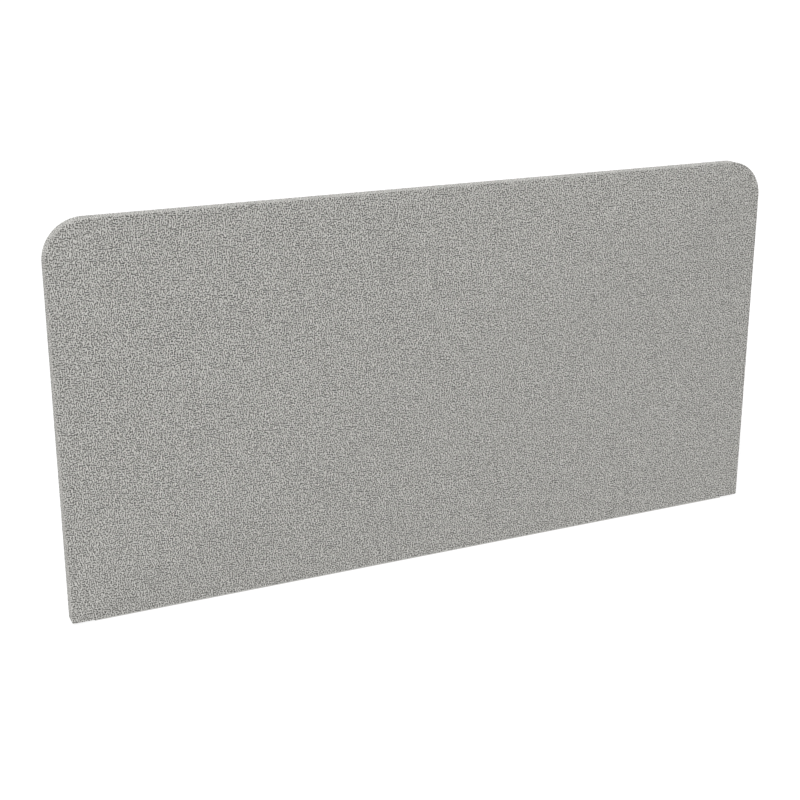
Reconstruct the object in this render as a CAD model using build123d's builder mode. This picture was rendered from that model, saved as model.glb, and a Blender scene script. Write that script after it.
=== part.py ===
from build123d import *
import os

# Desk divider screen: a fabric-covered, timber-framed acoustic panel with two rounded top corners.
# An aluminium track under its lower edge takes the bolts of desk brackets in two sliding nut plates.
# +X runs along the screen, +Y from the front face to the rear face, +Z up. The origin is the middle
# of the track's underside. Lengths are in millimetres.

# The screen as a whole
screen_width = 1600.0
screen_height = 800.0
screen_thickness = 30.0
corner_radius = 80.0
foot_corner_radius = 2.0

# Cover and padding
fabric_thickness = 1.0
liner_thickness = 2.0
wadding_thickness = 2.0
arris_radius = 1.5
seam_margin = 0.5
hem_width = 4.0
tab_length = 16.0
hem_gap = 0.2

# Timber frame and core
member_width = 45.0
bottom_rail_height = 60.0
corner_block_size = 140.0
corner_block_toe = 5.0
core_gap = 0.4

# Loose tenons of the frame joints
tenon_length = 40.0
tenon_width = 28.0
tenon_thickness = 8.0
tenon_side_gap = 0.1
tenon_end_gap = 1.0

# Mounting track
flange_thickness = 3.0
track_end_margin = 45.0
flange_setback = 1.5
flange_edge_radius = 0.8
slot_width = 8.0
channel_width = 12.6
channel_height = 8.0
channel_wall = 1.5
channel_roof = 1.6
channel_edge_radius = 0.5
groove_gap = 0.2

# End caps of the track
cap_plate = 2.0
cap_tongue_length = 12.0
cap_tongue_gap = 0.15
cap_tongue_chamfer = 0.6

# Track screws
screw_count = 6
screw_end_margin = 53.0
screw_head_radius = 3.5
screw_head_height = 2.2
screw_shank_radius = 1.75
screw_length = 30.0
screw_tip_length = 4.0
screw_hole_gap = 0.25
screw_pilot_gap = 0.05

# Sliding nut plates
nut_length = 60.0
nut_thickness = 4.0
nut_side_gap = 0.3
nut_seat_gap = 0.1
nut_core_radius = 2.5
nut_hole_pitch = 32.0
nut_corner_radius = 1.0
nut_inset = 200.0

# Hem staples
staple_crown = 10.0
staple_wire = 0.7
staple_wire_width = 1.2
staple_leg = 8.0
staple_gap = 0.05
staple_count = 11
staple_end_margin = 35.0
end_staple_y_share = 0.4
tab_staple_pitch = 13.0

# One overrun for every cut that starts or ends in the open
overrun = 1.0

# Levels and planes that the pieces share
half_width = screen_width / 2
half_thickness = screen_thickness / 2
body_bottom = flange_thickness
body_top = body_bottom + screen_height
seam_y = half_thickness - arris_radius - seam_margin
liner_face_y = half_thickness - fabric_thickness
frame_half_depth = liner_face_y - liner_thickness
frame_inset = fabric_thickness + wadding_thickness
frame_bottom = body_bottom + fabric_thickness
frame_top = body_top - frame_inset
frame_half_width = half_width - frame_inset
rail_top = frame_bottom + bottom_rail_height
head_bottom = frame_top - member_width
block_bottom = frame_top - corner_block_size
block_end_x = frame_half_width - corner_block_size
block_inner_radius = corner_block_size - member_width - corner_block_toe
stile_x = frame_half_width - member_width / 2

flange_half_width = half_thickness - flange_setback
track_half_length = half_width - track_end_margin - cap_plate
channel_half_outer = channel_width / 2 + channel_wall
channel_top = flange_thickness + channel_height
track_top = channel_top + channel_roof
groove_half_width = channel_half_outer + groove_gap
groove_top = track_top + groove_gap
cap_end_x = track_half_length + cap_plate
hem_edge_y = seam_y - hem_width
tab_end_x = half_width - tab_length
hem_end_x = tab_end_x - hem_gap / 2


def panel_outline(sketch, side_inset, foot_inset):
    """Adds the screen's front view to a sketch in the XZ plane, drawn in from the cover's outside."""
    width = screen_width - 2 * side_inset
    height = screen_height - side_inset - foot_inset
    with Locations((0, body_bottom + foot_inset)):
        Rectangle(width, height, align=(Align.CENTER, Align.MIN))
    fillet(sketch.vertices().group_by(Axis.Y)[-1], corner_radius - side_inset)
    foot_radius = foot_corner_radius - side_inset
    if foot_radius > 0:
        fillet(sketch.vertices().group_by(Axis.Y)[0], foot_radius)


def along(count, span):
    """Places at even steps along a line, from one end of the span to the other, centred on zero."""
    return [span * (index / (count - 1) - 1 / 2) for index in range(count)]


# Joint places, each in the middle of the face where two members meet
upright_joints = [
    (side * stile_x, 0, level) for side in (-1, 1) for level in (rail_top, block_bottom)
] + [(0, 0, level) for level in (rail_top, head_bottom)]
level_joints = [(side * block_end_x, 0, head_bottom + member_width / 2) for side in (-1, 1)]

with BuildPart() as mortise:
    Box(
        tenon_width + 2 * tenon_side_gap,
        tenon_thickness + 2 * tenon_side_gap,
        tenon_length + 2 * tenon_end_gap,
    )


def cut_mortises():
    """Cuts every mortise that reaches the frame member being made."""
    with Locations(*upright_joints):
        add(mortise.part, mode=Mode.SUBTRACT)
    with Locations(*level_joints):
        add(mortise.part, rotation=(0, 90, 0), mode=Mode.SUBTRACT)


# Staple places, as x, y and the turn of the crown about Z
hem_staple_span = 2 * (cap_end_x - staple_end_margin)
hem_staple_y = hem_edge_y + hem_width / 2
end_staple_x = (cap_end_x + tab_end_x) / 2
tab_staple_x = half_width - tab_length / 2
staple_places = (
    [(x, side * hem_staple_y, 0) for side in (-1, 1) for x in along(staple_count, hem_staple_span)]
    + [
        (end * end_staple_x, side * seam_y * end_staple_y_share, 0)
        for end in (-1, 1)
        for side in (-1, 1)
    ]
    + [(end * tab_staple_x, y, 90) for end in (-1, 1) for y in along(2, tab_staple_pitch)]
)
staple_locations = [Location((x, y, body_bottom), (0, 0, turn)) for x, y, turn in staple_places]

# One staple, crown down and legs up, with the pocket that it presses into cloth and timber
with BuildPart() as staple:
    with BuildSketch(Plane.XZ) as staple_sketch:
        Rectangle(staple_crown, staple_leg, align=(Align.CENTER, Align.MIN))
        with Locations((0, staple_wire)):
            Rectangle(
                staple_crown - 2 * staple_wire,
                staple_leg,
                align=(Align.CENTER, Align.MIN),
                mode=Mode.SUBTRACT,
            )
    extrude(amount=staple_wire_width / 2, both=True)

with BuildPart() as staple_pocket:
    with Locations((0, 0, -overrun)):
        Box(
            staple_crown + 2 * staple_gap,
            staple_wire_width + 2 * staple_gap,
            overrun + staple_wire + staple_gap,
            align=(Align.CENTER, Align.CENTER, Align.MIN),
        )
    with Locations(*[(x, 0, 0) for x in along(2, staple_crown - staple_wire)]):
        Box(
            staple_wire + 2 * staple_gap,
            staple_wire_width + 2 * staple_gap,
            staple_leg + staple_gap,
            align=(Align.CENTER, Align.CENTER, Align.MIN),
        )


def press_staple_pockets():
    """Cuts the staples' pockets from the cloth or timber being made."""
    with Locations(*staple_locations):
        add(staple_pocket.part, mode=Mode.SUBTRACT)


with BuildPart() as hem_staples:
    with Locations(*staple_locations):
        add(staple.part)

# Timber frame
screw_places = along(screw_count, 2 * (track_half_length - screw_end_margin))

with BuildPart() as bottom_rail:
    with Locations((0, 0, frame_bottom)):
        Box(
            2 * frame_half_width,
            2 * frame_half_depth,
            bottom_rail_height,
            align=(Align.CENTER, Align.CENTER, Align.MIN),
        )
    with BuildSketch(Plane.XY.offset(frame_bottom - overrun)):
        SlotOverall(2 * (cap_end_x + groove_half_width), 2 * groove_half_width)
    extrude(amount=groove_top - frame_bottom + overrun, mode=Mode.SUBTRACT)
    with Locations(*[(x, 0, channel_top) for x in screw_places]):
        Cylinder(
            screw_shank_radius + screw_pilot_gap,
            screw_length + screw_pilot_gap,
            align=(Align.CENTER, Align.CENTER, Align.MIN),
            mode=Mode.SUBTRACT,
        )
    cut_mortises()
    press_staple_pockets()

with BuildPart() as left_stile:
    with Locations((-stile_x, 0, rail_top)):
        Box(
            member_width,
            2 * frame_half_depth,
            block_bottom - rail_top,
            align=(Align.CENTER, Align.CENTER, Align.MIN),
        )
    cut_mortises()

with BuildPart() as right_stile:
    mirror(left_stile.part, about=Plane.YZ)

with BuildPart() as centre_stile:
    with Locations((0, 0, rail_top)):
        Box(
            member_width,
            2 * frame_half_depth,
            head_bottom - rail_top,
            align=(Align.CENTER, Align.CENTER, Align.MIN),
        )
    cut_mortises()

with BuildPart() as top_rail:
    with Locations((0, 0, head_bottom)):
        Box(
            2 * block_end_x,
            2 * frame_half_depth,
            member_width,
            align=(Align.CENTER, Align.CENTER, Align.MIN),
        )
    cut_mortises()

with BuildPart() as left_corner_block:
    with BuildSketch(Plane.XZ) as block_sketch:
        with Locations((-frame_half_width, frame_top)):
            Rectangle(corner_block_size, corner_block_size, align=(Align.MIN, Align.MAX))
        with Locations((-frame_half_width + member_width, head_bottom)):
            Rectangle(
                corner_block_size - member_width,
                corner_block_size - member_width,
                align=(Align.MIN, Align.MAX),
                mode=Mode.SUBTRACT,
            )
        outer_corner = (-frame_half_width, frame_top)
        fillet(
            block_sketch.vertices().sort_by_distance(outer_corner)[0],
            corner_radius - frame_inset,
        )
        inner_corner = (-frame_half_width + member_width, head_bottom)
        fillet(
            block_sketch.vertices().sort_by_distance(inner_corner)[0],
            block_inner_radius,
        )
    extrude(amount=frame_half_depth, both=True)
    cut_mortises()

with BuildPart() as right_corner_block:
    mirror(left_corner_block.part, about=Plane.YZ)

with BuildPart() as frame_tenons:
    with Locations(*upright_joints):
        Box(tenon_width, tenon_thickness, tenon_length)
    with Locations(*level_joints):
        Box(tenon_length, tenon_thickness, tenon_width)

# Acoustic core, one pad in each bay of the frame
bay_left = -frame_half_width + member_width + core_gap
bay_right = -member_width / 2 - core_gap
with BuildPart() as left_core_pad:
    with BuildSketch(Plane.XZ) as pad_sketch:
        with Locations((bay_left, rail_top)):
            Rectangle(
                bay_right - bay_left,
                head_bottom - core_gap - rail_top,
                align=(Align.MIN, Align.MIN),
            )
        fillet(
            pad_sketch.vertices().sort_by_distance((bay_left, head_bottom))[0],
            block_inner_radius - core_gap,
        )
    extrude(amount=frame_half_depth, both=True)

with BuildPart() as right_core_pad:
    mirror(left_core_pad.part, about=Plane.YZ)

# Felt liner on each face, and the wadding round the sides and top
with BuildPart() as front_liner:
    with BuildSketch(Plane.XZ.offset(frame_half_depth)) as liner_sketch:
        panel_outline(liner_sketch, fabric_thickness, fabric_thickness)
    extrude(amount=liner_thickness)
    press_staple_pockets()

with BuildPart() as rear_liner:
    mirror(front_liner.part, about=Plane.XZ)

with BuildPart() as edge_wadding:
    with BuildSketch(Plane.XZ) as wadding_sketch:
        panel_outline(wadding_sketch, fabric_thickness, fabric_thickness)
    extrude(amount=frame_half_depth, both=True)
    with BuildSketch(Plane.XZ) as frame_sketch:
        panel_outline(frame_sketch, frame_inset, fabric_thickness)
    extrude(amount=frame_half_depth, both=True, mode=Mode.SUBTRACT)

# Sewn cover: two face panels, whose lower hems turn under the frame, and the strip between them
with BuildPart() as front_cover:
    with BuildSketch(Plane.XZ.offset(seam_y)) as cover_sketch:
        panel_outline(cover_sketch, 0, 0)
    extrude(amount=half_thickness - seam_y)
    fillet(front_cover.faces().sort_by(Axis.Y)[0].edges(), arris_radius)
    with BuildSketch(Plane.XZ.offset(seam_y)) as cover_lining_sketch:
        panel_outline(cover_lining_sketch, fabric_thickness, fabric_thickness)
    extrude(amount=liner_face_y - seam_y, mode=Mode.SUBTRACT)
    with BuildSketch(Plane.XY.offset(body_bottom)):
        with Locations((0, -seam_y)):
            Rectangle(2 * hem_end_x, hem_width, align=(Align.CENTER, Align.MIN))
        for end in (-1, 1):
            with Locations((end * (cap_end_x + hem_gap + hem_end_x) / 2, -seam_y)):
                Rectangle(
                    hem_end_x - cap_end_x - hem_gap,
                    seam_y - hem_gap / 2,
                    align=(Align.CENTER, Align.MIN),
                )
    extrude(amount=fabric_thickness)
    press_staple_pockets()

with BuildPart() as rear_cover:
    mirror(front_cover.part, about=Plane.XZ)

with BuildPart() as edge_strip:
    with BuildSketch(Plane.XZ) as strip_sketch:
        panel_outline(strip_sketch, 0, 0)
    extrude(amount=seam_y, both=True)
    with BuildSketch(Plane.XZ) as strip_lining_sketch:
        panel_outline(strip_lining_sketch, fabric_thickness, fabric_thickness)
    extrude(amount=seam_y, both=True, mode=Mode.SUBTRACT)
    with Locations((0, 0, body_bottom - overrun)):
        Box(
            2 * tab_end_x,
            screen_thickness,
            fabric_thickness + 2 * overrun,
            align=(Align.CENTER, Align.CENTER, Align.MIN),
            mode=Mode.SUBTRACT,
        )
    press_staple_pockets()

# Mounting track: a flange that clamps the hems, and a channel for the nut plates let into the frame
with BuildPart() as mounting_track:
    with BuildSketch(Plane.YZ) as track_sketch:
        Rectangle(2 * flange_half_width, flange_thickness, align=(Align.CENTER, Align.MIN))
        fillet(track_sketch.vertices().group_by(Axis.Y)[0], flange_edge_radius)
        with Locations((0, flange_thickness)):
            Rectangle(
                2 * channel_half_outer,
                track_top - flange_thickness,
                align=(Align.CENTER, Align.MIN),
            )
        fillet(track_sketch.vertices().group_by(Axis.Y)[-1], channel_edge_radius)
        with Locations((0, flange_thickness)):
            Rectangle(
                channel_width,
                channel_height,
                align=(Align.CENTER, Align.MIN),
                mode=Mode.SUBTRACT,
            )
        Rectangle(
            slot_width,
            2 * (flange_thickness + overrun),
            mode=Mode.SUBTRACT,
        )
    extrude(amount=track_half_length, both=True)
    with Locations(*[(x, 0, channel_top - overrun) for x in screw_places]):
        Cylinder(
            screw_shank_radius + screw_hole_gap,
            channel_roof + 2 * overrun,
            align=(Align.CENTER, Align.CENTER, Align.MIN),
            mode=Mode.SUBTRACT,
        )

# A moulded cap closes each end of the track, and its tongue stops the nut plates
with BuildPart() as left_end_cap:
    with BuildSketch(Plane.YZ.offset(-cap_end_x)) as cap_sketch:
        Rectangle(2 * flange_half_width, flange_thickness, align=(Align.CENTER, Align.MIN))
        fillet(cap_sketch.vertices().group_by(Axis.Y)[0], flange_edge_radius)
        Rectangle(2 * channel_half_outer, track_top, align=(Align.CENTER, Align.MIN))
        fillet(cap_sketch.vertices().group_by(Axis.Y)[-1], channel_edge_radius)
    extrude(amount=cap_plate)
    with BuildSketch(Plane.YZ.offset(-track_half_length)):
        with Locations((0, flange_thickness + cap_tongue_gap)):
            Rectangle(
                channel_width - 2 * cap_tongue_gap,
                channel_height - 2 * cap_tongue_gap,
                align=(Align.CENTER, Align.MIN),
            )
        Rectangle(
            slot_width - 2 * cap_tongue_gap,
            flange_thickness + 2 * cap_tongue_gap,
            align=(Align.CENTER, Align.MIN),
        )
    extrude(amount=cap_tongue_length)
    chamfer(left_end_cap.faces().sort_by(Axis.X)[-1].edges(), cap_tongue_chamfer)

with BuildPart() as right_end_cap:
    mirror(left_end_cap.part, about=Plane.YZ)

# One flat-topped screw, head down in the channel and shank up through the roof into the bottom rail
with BuildPart() as screw:
    with BuildSketch(Plane.XZ):
        with BuildLine():
            head_crown = channel_top - screw_head_height
            Polyline(
                (0, head_crown),
                (screw_head_radius, head_crown),
                (screw_head_radius, channel_top),
                (screw_shank_radius, channel_top),
                (screw_shank_radius, channel_top + screw_length - screw_tip_length),
                (0, channel_top + screw_length),
                close=True,
            )
        make_face()
    revolve(axis=Axis.Z)

with BuildPart() as track_screws:
    with Locations(*[(x, 0, 0) for x in screw_places]):
        add(screw.part)

# Sliding nut plates, each with two tapped holes at their core size
nut_width = channel_width - 2 * nut_side_gap
nut_x = half_width - nut_inset
with BuildPart() as left_nut_plate:
    with BuildSketch(Plane.XY.offset(flange_thickness + nut_seat_gap)):
        with Locations((-nut_x, 0)):
            RectangleRounded(nut_length, nut_width, nut_corner_radius)
    extrude(amount=nut_thickness)
    with Locations(*[(-nut_x + shift, 0, channel_top) for shift in along(2, nut_hole_pitch)]):
        Hole(nut_core_radius)

with BuildPart() as right_nut_plate:
    mirror(left_nut_plate.part, about=Plane.YZ)

pieces = {
    "front_cover": front_cover,
    "rear_cover": rear_cover,
    "edge_strip": edge_strip,
    "front_liner": front_liner,
    "rear_liner": rear_liner,
    "edge_wadding": edge_wadding,
    "left_core_pad": left_core_pad,
    "right_core_pad": right_core_pad,
    "bottom_rail": bottom_rail,
    "top_rail": top_rail,
    "left_stile": left_stile,
    "right_stile": right_stile,
    "centre_stile": centre_stile,
    "left_corner_block": left_corner_block,
    "right_corner_block": right_corner_block,
    "frame_tenons": frame_tenons,
    "hem_staples": hem_staples,
    "mounting_track": mounting_track,
    "left_end_cap": left_end_cap,
    "right_end_cap": right_end_cap,
    "track_screws": track_screws,
    "left_nut_plate": left_nut_plate,
    "right_nut_plate": right_nut_plate,
}
os.makedirs("parts", exist_ok=True)
for name, piece in pieces.items():
    piece.part.label = name
    export_step(piece.part, f"parts/{name}.step")
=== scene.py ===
"""Looks of a fabric-covered desk divider screen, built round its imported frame.

Lengths are in metres, in the frame of the construction: +X along the screen, +Y from the front
face to the rear face, +Z up. The origin lies under the middle of the mounting track.
"""

import logging
import math
from collections.abc import Sequence
from dataclasses import dataclass, field
from enum import Enum
from functools import reduce
from itertools import pairwise

import bmesh
import bpy
from bpy.types import Material, Mesh, Node, NodeSocket, NodeTree, Object
from mathutils import Matrix, Vector

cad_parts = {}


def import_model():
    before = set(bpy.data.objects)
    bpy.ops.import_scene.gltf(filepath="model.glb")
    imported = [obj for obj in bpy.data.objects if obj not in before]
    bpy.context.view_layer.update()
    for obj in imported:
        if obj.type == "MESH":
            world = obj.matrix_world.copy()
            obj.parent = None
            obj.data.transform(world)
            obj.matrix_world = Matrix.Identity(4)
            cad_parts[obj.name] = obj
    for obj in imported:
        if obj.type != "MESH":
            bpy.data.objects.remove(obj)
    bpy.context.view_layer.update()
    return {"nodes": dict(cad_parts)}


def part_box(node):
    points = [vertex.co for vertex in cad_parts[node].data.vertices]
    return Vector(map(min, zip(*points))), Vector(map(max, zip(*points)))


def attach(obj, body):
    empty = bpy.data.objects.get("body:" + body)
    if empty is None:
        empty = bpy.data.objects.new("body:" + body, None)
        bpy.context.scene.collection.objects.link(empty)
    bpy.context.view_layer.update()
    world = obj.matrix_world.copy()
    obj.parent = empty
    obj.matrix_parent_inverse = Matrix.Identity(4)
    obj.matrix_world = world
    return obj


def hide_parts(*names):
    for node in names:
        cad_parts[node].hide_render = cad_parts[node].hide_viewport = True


MM = 0.001
QUARTER = math.pi / 2
SHARP_ANGLE = math.radians(38.0)
WHITE = (1.0, 1.0, 1.0)
FELT_SHADE = (0.5, 0.49, 0.46)
FLEECE_SHADE = (0.62, 0.62, 0.6)
STAPLE_SHADE = (0.62, 0.62, 0.6)
SCREW_SHADE = (0.66, 0.65, 0.6)
PLATE_SHADE = (0.6, 0.6, 0.61)
WEAVE_MAP = "Weave"

log = logging.getLogger("desk_screen")

Span = tuple[float, float]
Triple = tuple[float, float, float]


class Side(Enum):
    """The two faces of the screen, by the sign of Y."""

    FRONT = -1
    REAR = 1


class Grain(Enum):
    """The axis that a piece of timber runs along."""

    ALONG_X = 0
    ALONG_Z = 2


class Edge(Enum):
    """What the cloth does where it leaves a face."""

    SEAM = "sewn to the edge strip"
    HEM = "turned under and clamped by the track"
    FLAP = "turned under as far as the middle, beyond the track's end"


class Wire:
    """A result in a node tree, on which the usual signs of arithmetic work."""

    def __init__(self, plan: "NodePlan", socket: NodeSocket) -> None:
        """Holds an output and the plan that it belongs to."""
        self.plan = plan
        self.socket = socket

    def __add__(self, other: "Feed") -> "Wire":
        """Adds a number to this one."""
        return self.plan.math("ADD", self, other)

    def __sub__(self, other: "Feed") -> "Wire":
        """Takes a number from this one."""
        return self.plan.math("SUBTRACT", self, other)

    def __rsub__(self, other: float) -> "Wire":
        """Takes this number from another."""
        return self.plan.math("SUBTRACT", other, self)

    def __mul__(self, other: "Feed") -> "Wire":
        """Multiplies this number by another."""
        return self.plan.math("MULTIPLY", self, other)

    def __truediv__(self, other: "Feed") -> "Wire":
        """Divides this number by another."""
        return self.plan.math("DIVIDE", self, other)

    def __pow__(self, power: float) -> "Wire":
        """Raises this number to a power."""
        return self.plan.math("POWER", self, power)

    def __abs__(self) -> "Wire":
        """Drops this number's sign."""
        return self.plan.math("ABSOLUTE", self)


Feed = Wire | Material | float | bool | str | tuple | list


class NodePlan:
    """A node tree that is drawn up a node at a time."""

    def __init__(self, tree: NodeTree) -> None:
        """Holds the tree."""
        self.tree = tree

    def feed(self, socket: NodeSocket, value: Feed) -> None:
        """Links a result to an input, or sets the input's own value.

        Args:
            socket: The input.
            value: A result of this tree, a list of results, or a plain value.
        """
        for item in value if isinstance(value, list) else [value]:
            if isinstance(item, Wire):
                self.tree.links.new(item.socket, socket)
            elif socket.type == "RGBA":
                socket.default_value = (*item, 1.0)
            else:
                socket.default_value = item

    def node(self, kind: str, settings: dict | None = None, **inputs: Feed) -> Node:
        """Adds a node.

        Args:
            kind: The node's type.
            settings: The node's own properties.
            inputs: Values for its named inputs, with _ for a space.

        Returns:
            The node.
        """
        made = self.tree.nodes.new(kind)
        for name, value in (settings or {}).items():
            setattr(made, name, value)
        for name, value in inputs.items():
            self.feed(made.inputs[name.replace("_", " ")], value)
        return made

    def result(self, kind: str, output: str, settings: dict | None = None, **inputs: Feed) -> Wire:
        """Adds a node, and returns its output of this name."""
        return Wire(self, self.node(kind, settings, **inputs).outputs[output])

    def numbered(self, kind: str, settings: dict, values: dict[int, Feed], output: int = 0) -> Wire:
        """Adds a node whose inputs go by number, because some of them share a name.

        Args:
            kind: The node's type.
            settings: The node's own properties.
            values: A value for each input's number.
            output: The number of the output that is wanted.

        Returns:
            That output.
        """
        made = self.node(kind, settings)
        for index, value in values.items():
            self.feed(made.inputs[index], value)
        return Wire(self, made.outputs[output])

    def math(self, operation: str, *values: Feed) -> Wire:
        """Returns the result of an operation on numbers."""
        return self.numbered("ShaderNodeMath", {"operation": operation}, dict(enumerate(values)))

    def vector(self, operation: str, *values: Feed) -> Wire:
        """Returns the result of an operation on vectors."""
        return self.numbered("ShaderNodeVectorMath", {"operation": operation}, dict(enumerate(values)))

    def scaled(self, vector: Feed, factor: Feed) -> Wire:
        """Returns a vector or colour multiplied by a number."""
        return self.numbered("ShaderNodeVectorMath", {"operation": "SCALE"}, {0: vector, 3: factor})

    def place(self, x: Feed = 0.0, y: Feed = 0.0, z: Feed = 0.0) -> Wire:
        """Returns a vector made of its components."""
        return self.result("ShaderNodeCombineXYZ", "Vector", X=x, Y=y, Z=z)

    def blend(self, share: Wire, first: Triple, second: Triple) -> Wire:
        """Returns a colour between two colours."""
        return self.numbered("ShaderNodeMix", {"data_type": "RGBA"}, {0: share, 6: first, 7: second}, 2)


class Shader(NodePlan):
    """One material's nodes, with the patterns that finishes are made from."""

    def __init__(self, name: str, **surface: float) -> None:
        """Starts a material with a principled surface.

        Args:
            name: The material's name.
            surface: Values for the surface's inputs, with _ for a space.
        """
        self.material = bpy.data.materials.new(name)
        self.material.use_nodes = True
        super().__init__(self.material.node_tree)
        self.tree.nodes.clear()
        self.surface = self.node("ShaderNodeBsdfPrincipled", **surface)
        self.node("ShaderNodeOutputMaterial", Surface=Wire(self, self.surface.outputs["BSDF"]))

    def here(self, *stretch: float) -> Wire:
        """Returns the piece's own coordinates, each axis multiplied by its stretch, if any."""
        place = self.result("ShaderNodeTexCoord", "Object")
        return self.vector("MULTIPLY", place, stretch) if stretch else place

    def noise(self, place: Wire, size: float, detail: float = 2.0) -> Wire:
        """Returns a cloudy pattern from 0 to 1, with clouds of this size."""
        return self.result("ShaderNodeTexNoise", "Fac", Vector=place, Scale=1 / size, Detail=detail)

    def drift(self, place: Wire, size: float) -> Wire:
        """Returns a vector that changes slowly, with components from about -0.5 to 0.5."""
        cloud = self.result("ShaderNodeTexNoise", "Color", Vector=place, Scale=1 / size, Detail=0.0)
        return self.vector("SUBTRACT", cloud, (0.5, 0.5, 0.5))

    def chance(self, column: Wire, row: Wire) -> Wire:
        """Returns an even random number from 0 to 1 for each column and row."""
        cell = self.place(column, row)
        return self.result("ShaderNodeTexWhiteNoise", "Value", {"noise_dimensions": "2D"}, Vector=cell)

    def between(self, value: Wire, low: float, high: float) -> Wire:
        """Stretches a number from 0 to 1 onto the span from low to high."""
        return self.result("ShaderNodeMapRange", "Result", Value=value, To_Min=low, To_Max=high)

    def total(self, parts: list[Wire]) -> Wire:
        """Returns the sum of several numbers."""
        return reduce(Wire.__add__, parts)

    def pick(self, choice: Wire, if_one: Feed, if_zero: Feed) -> Wire:
        """Returns the first number where the choice is 1, and the second where it is 0."""
        return self.numbered("ShaderNodeMix", {"data_type": "FLOAT"}, {0: choice, 2: if_zero, 3: if_one})

    def dress(self, colour: Wire, height: Wire, depth: float, roughness: Wire | None = None) -> Material:
        """Gives the surface its patterns.

        Args:
            colour: The colour.
            height: The relief, from 0 to 1.
            depth: The depth of the relief, in metres.
            roughness: The roughness, where it changes over the surface.

        Returns:
            The finished material.
        """
        bump = self.result("ShaderNodeBump", "Normal", Height=height, Strength=1.0, Distance=depth)
        patterns = {"Base Color": colour, "Normal": bump, "Roughness": roughness}
        for name, pattern in patterns.items():
            if pattern is not None:
                self.feed(self.surface.inputs[name], pattern)
        return self.material


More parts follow.
